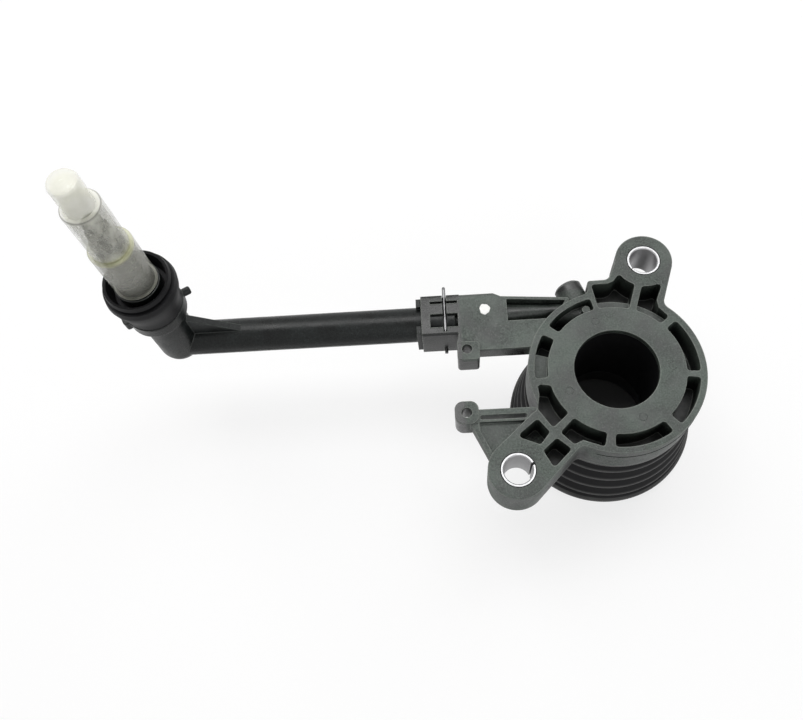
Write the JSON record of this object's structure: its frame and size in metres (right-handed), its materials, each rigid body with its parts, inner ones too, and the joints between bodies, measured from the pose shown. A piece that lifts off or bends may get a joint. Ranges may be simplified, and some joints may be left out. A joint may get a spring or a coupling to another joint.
{
  "type": "clutch slave cylinder",
  "caption": "Plastic-bodied concentric clutch slave cylinder: flange ring with bolt lugs, bellows boot, release bearing, and an inlet pipe with a capped connector.",
  "frame": {"origin": "centre of the shaft bore on the mounting face", "axes": "+Z out of the mounting face towards the gearbox; the inlet pipe runs along -X; the release bearing faces -Z"},
  "size_m": [0.2539, 0.1189, 0.1813],
  "materials": {
    "glass_filled_nylon": "moulded, lightly speckled by its glass fibre",
    "pipe_nylon": "moulded satin",
    "plated_steel": "zinc plated",
    "polished_steel": "honed",
    "seal_rubber": "smooth",
    "piston_plastic": "machined",
    "pressed_steel": "pressed, oiled",
    "bearing_steel": "ground",
    "ball_steel": "polished",
    "cage_plastic": "moulded",
    "shield_plastic": "moulded",
    "spring_steel": "drawn wire",
    "boot_rubber": "moulded, matt",
    "clip_wire": "drawn stainless wire",
    "grommet_rubber": "moulded, matt",
    "cap_plastic": "milky, translucent"
  },
  "bodies": {
    "housing": {"housing": "glass_filled_nylon", "bolt_sleeve_lower": "plated_steel", "bolt_sleeve_upper": "plated_steel", "guide_sleeve": "polished_steel", "guide_sleeve_oring": "seal_rubber", "dust_boot": "boot_rubber", "preload_spring": "spring_steel", "pipe_adapter": "pipe_nylon", "pipe_oring": "seal_rubber", "connector_oring": "seal_rubber", "grommet": "grommet_rubber"},
    "carriage": {"piston": "piston_plastic", "piston_seal": "seal_rubber", "bearing_carrier": "pressed_steel", "bearing_outer_ring": "bearing_steel", "bearing_shield_upper": "shield_plastic", "bearing_shield_lower": "shield_plastic", "bearing_snap_ring": "spring_steel"},
    "contact_ring": {"bearing_inner_ring": "bearing_steel"},
    "ball_set": {"bearing_balls": "ball_steel", "bearing_cage": "cage_plastic"},
    "clip": {"pipe_clip": "clip_wire"},
    "cap": {"transport_cap": "cap_plastic"}
  },
  "joints": [
    {"name": "release_stroke", "type": "slide", "parent": "housing", "child": "carriage", "axis": [0, 0, 1], "range_m": [0, 0.009], "stiffness_N_per_m": 3000, "springref_m": -0.012, "deforming": ["dust_boot", "preload_spring"]},
    {"name": "bearing_spin", "type": "hinge", "parent": "carriage", "child": "contact_ring", "pos_m": [0, 0, -0.0555], "axis": [0, 0, 1], "continuous": true},
    {"name": "ball_set_spin", "type": "hinge", "parent": "carriage", "child": "ball_set", "pos_m": [0, 0, -0.0555], "axis": [0, 0, 1], "continuous": true},
    {"name": "pipe_clip_pull", "type": "slide", "parent": "housing", "child": "clip", "axis": [0, 1, 0], "range_m": [0, 0.008]},
    {"name": "cap_pull", "type": "slide", "parent": "housing", "child": "cap", "axis": [0, 0, 1], "range_m": [0, 0.045]}
  ],
  "couplings": [
    {"joint": "ball_set_spin", "follows": "bearing_spin", "ratio": 0.4457}
  ]
}
